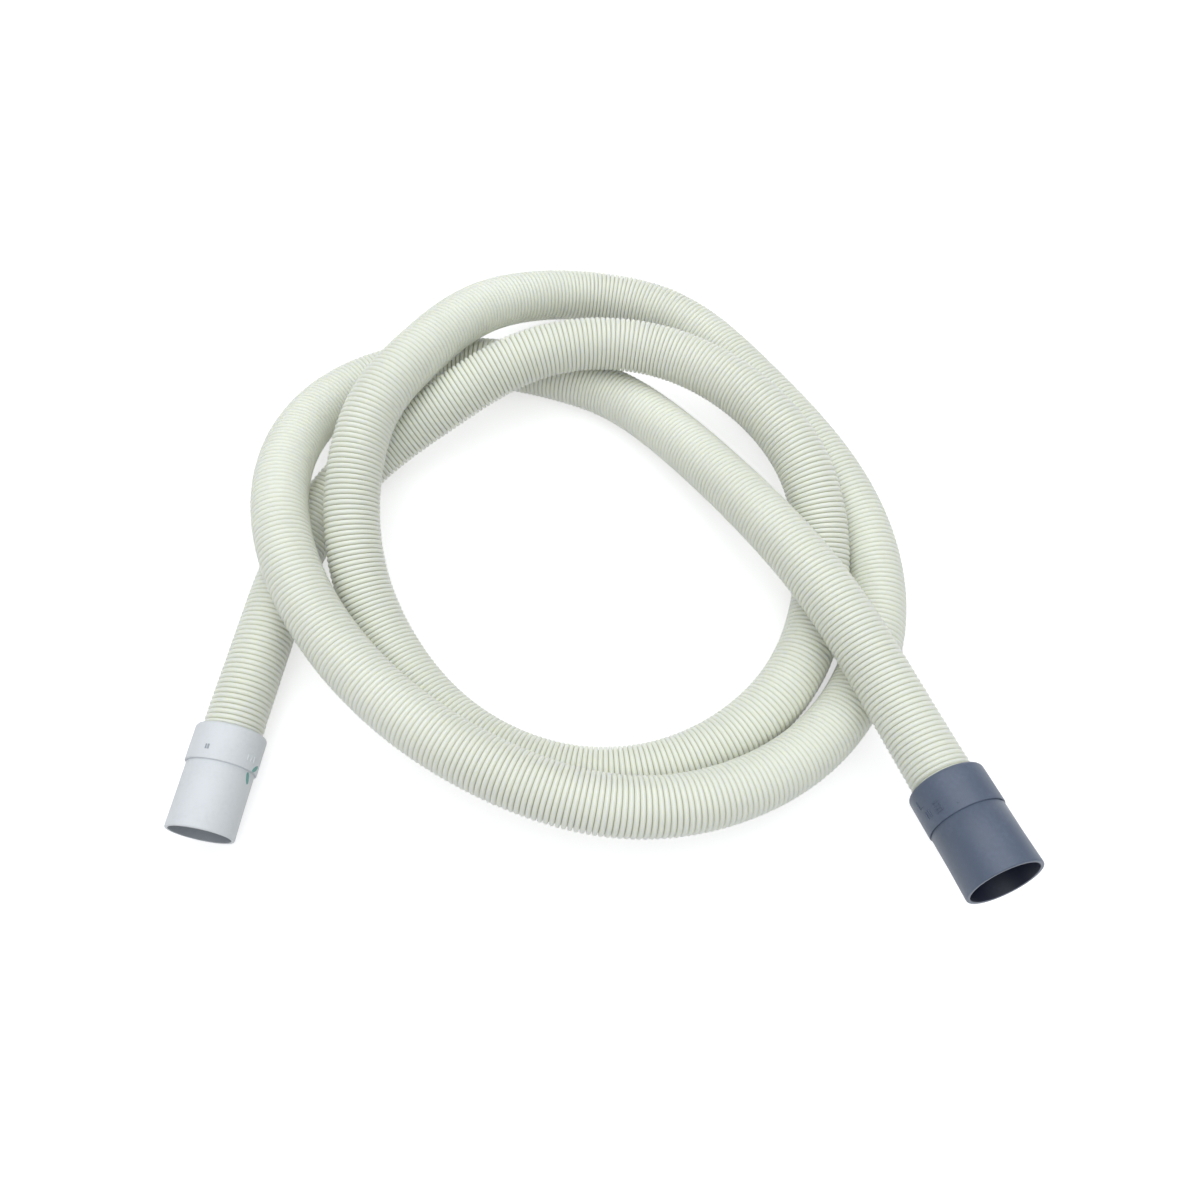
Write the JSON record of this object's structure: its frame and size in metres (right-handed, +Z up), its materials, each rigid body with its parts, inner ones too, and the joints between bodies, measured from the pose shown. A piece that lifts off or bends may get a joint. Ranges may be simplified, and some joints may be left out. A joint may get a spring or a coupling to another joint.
{
  "type": "dishwasher drain hose",
  "caption": "Corrugated plastic drain hose lying in two loose turns, with a pale grey rubber cuff on one end and a dark grey one on the other.",
  "frame": {"origin": "on the surface that the hose lies on, under the middle of its box", "axes": "+Z up from the surface, +X to the right of somebody facing the two cuffs, +Y away from them; both cuffs' mouths look roughly along -Y"},
  "size_m": [0.3201, 0.3158, 0.065],
  "materials": {
    "ivory_polypropylene": "blown polypropylene, milky, satin",
    "light_grey_rubber": "moulded soft plastic, fine matt",
    "slate_grey_rubber": "moulded soft plastic, satin"
  },
  "bodies": {
    "root": {"corrugated_hose": "ivory_polypropylene", "light_grey_cuff": "light_grey_rubber", "dark_grey_cuff": "slate_grey_rubber"}
  },
  "joints": []
}
